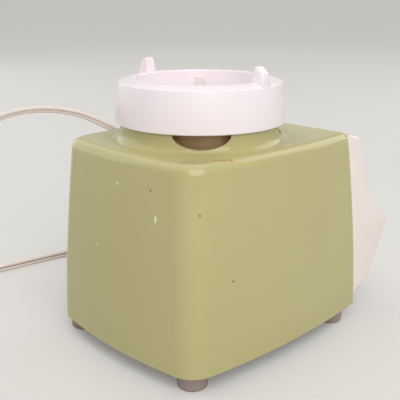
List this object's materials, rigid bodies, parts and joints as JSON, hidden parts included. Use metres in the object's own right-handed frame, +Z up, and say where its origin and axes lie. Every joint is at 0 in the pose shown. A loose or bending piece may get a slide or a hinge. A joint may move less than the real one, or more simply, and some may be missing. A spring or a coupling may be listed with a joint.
{
  "type": "blender motor base",
  "caption": "Tapered motor base of a countertop blender, with a stepped key panel, a round lugged collar that seats the jar over a square drive stud, and a flat cord.",
  "frame": {"origin": "on the floor, under the middle of the outline of the base without its cord", "axes": "+Z up along the motor shaft, -Y towards the key panel, +X towards the side that the cord leaves"},
  "size_m": [0.2984, 0.2453, 0.1999],
  "materials": {
    "shell_green": "gloss moulded avocado green",
    "white_plastic": "gloss moulded warm white",
    "collar_white": "gloss moulded warm white",
    "key_plastic": "gloss moulded warm white",
    "plate_plastic": "matte moulded",
    "foot_rubber": "matte grey rubber",
    "mount_rubber": "matte black rubber",
    "fastener_steel": "zinc plated",
    "fibre": "varnished brown fibre",
    "phenolic": "brown phenolic",
    "lamination": "varnished steel sheets",
    "copper_wire": "enamelled copper",
    "bracket_aluminium": "as cast",
    "bronze": "plain",
    "carbon": "dull carbon",
    "shaft_steel": "ground",
    "drive_nylon": "natural nylon",
    "dark_plastic": "matte moulded",
    "cord_plastic": "soft vinyl",
    "lead_plastic": "soft vinyl"
  },
  "bodies": {
    "base": {"bottom_plate": "plate_plastic", "brush_holders": "phenolic", "carbon_brushes": "carbon", "collar_floor": "collar_white", "collar_screws": "fastener_steel", "control_panel": "white_plastic", "cord_coil": "cord_plastic", "field_coils": "copper_wire", "field_stack": "lamination", "foot_front_left": "foot_rubber", "foot_front_right": "foot_rubber", "foot_rear_left": "foot_rubber", "foot_rear_right": "foot_rubber", "housing_shell": "shell_green", "jar_collar": "collar_white", "lower_bracket": "bracket_aluminium", "lower_bush": "bronze", "motor_leads": "lead_plastic", "mount_screws": "fastener_steel", "neck_baffle": "fibre", "panel_screws": "fastener_steel", "plate_screws": "fastener_steel", "plug_blades": "bronze", "plug_body": "cord_plastic", "power_cord": "cord_plastic", "rubber_mounts": "mount_rubber", "strain_relief": "cord_plastic", "supply_lead": "lead_plastic", "switch_block": "phenolic", "switch_screws": "fastener_steel", "through_bolts": "fastener_steel", "upper_bracket": "bracket_aluminium", "upper_bush": "bronze"},
    "rotor": {"motor_shaft": "shaft_steel", "armature_core": "lamination", "armature_winding": "copper_wire", "commutator": "copper_wire", "thrust_washer": "fibre", "cooling_fan": "dark_plastic", "slinger": "dark_plastic", "drive_stud": "drive_nylon"},
    "key_1": {"key_1": "key_plastic"},
    "key_2": {"key_2": "key_plastic"},
    "key_3": {"key_3": "key_plastic"},
    "key_4": {"key_4": "key_plastic"},
    "key_5": {"key_5": "key_plastic"},
    "key_6": {"key_6": "key_plastic"},
    "key_7": {"key_7": "key_plastic"},
    "key_8": {"key_8": "key_plastic"}
  },
  "joints": [
    {"name": "motor_spin", "type": "hinge", "parent": "base", "child": "rotor", "pos_m": [0, 0.02787, 0.1708], "axis": [0, 0, 1], "continuous": true},
    {"name": "key_1_press", "type": "slide", "parent": "base", "child": "key_1", "axis": [0, 0.6273, -0.7788], "range_m": [0, 0.004], "stiffness_N_per_m": 400, "springref_m": -0.003},
    {"name": "key_2_press", "type": "slide", "parent": "base", "child": "key_2", "axis": [0, 0.6273, -0.7788], "range_m": [0, 0.004], "stiffness_N_per_m": 400, "springref_m": -0.003},
    {"name": "key_3_press", "type": "slide", "parent": "base", "child": "key_3", "axis": [0, 0.6273, -0.7788], "range_m": [0, 0.004], "stiffness_N_per_m": 400, "springref_m": -0.003},
    {"name": "key_4_press", "type": "slide", "parent": "base", "child": "key_4", "axis": [0, 0.6273, -0.7788], "range_m": [0, 0.004], "stiffness_N_per_m": 400, "springref_m": -0.003},
    {"name": "key_5_press", "type": "slide", "parent": "base", "child": "key_5", "axis": [0, 0.6273, -0.7788], "range_m": [0, 0.004], "stiffness_N_per_m": 400, "springref_m": -0.003},
    {"name": "key_6_press", "type": "slide", "parent": "base", "child": "key_6", "axis": [0, 0.6273, -0.7788], "range_m": [0, 0.004], "stiffness_N_per_m": 400, "springref_m": -0.003},
    {"name": "key_7_press", "type": "slide", "parent": "base", "child": "key_7", "axis": [0, 0.6273, -0.7788], "range_m": [0, 0.004], "stiffness_N_per_m": 400, "springref_m": -0.003},
    {"name": "key_8_press", "type": "slide", "parent": "base", "child": "key_8", "axis": [0, 0.6273, -0.7788], "range_m": [0, 0.004], "stiffness_N_per_m": 400, "springref_m": -0.003}
  ]
}
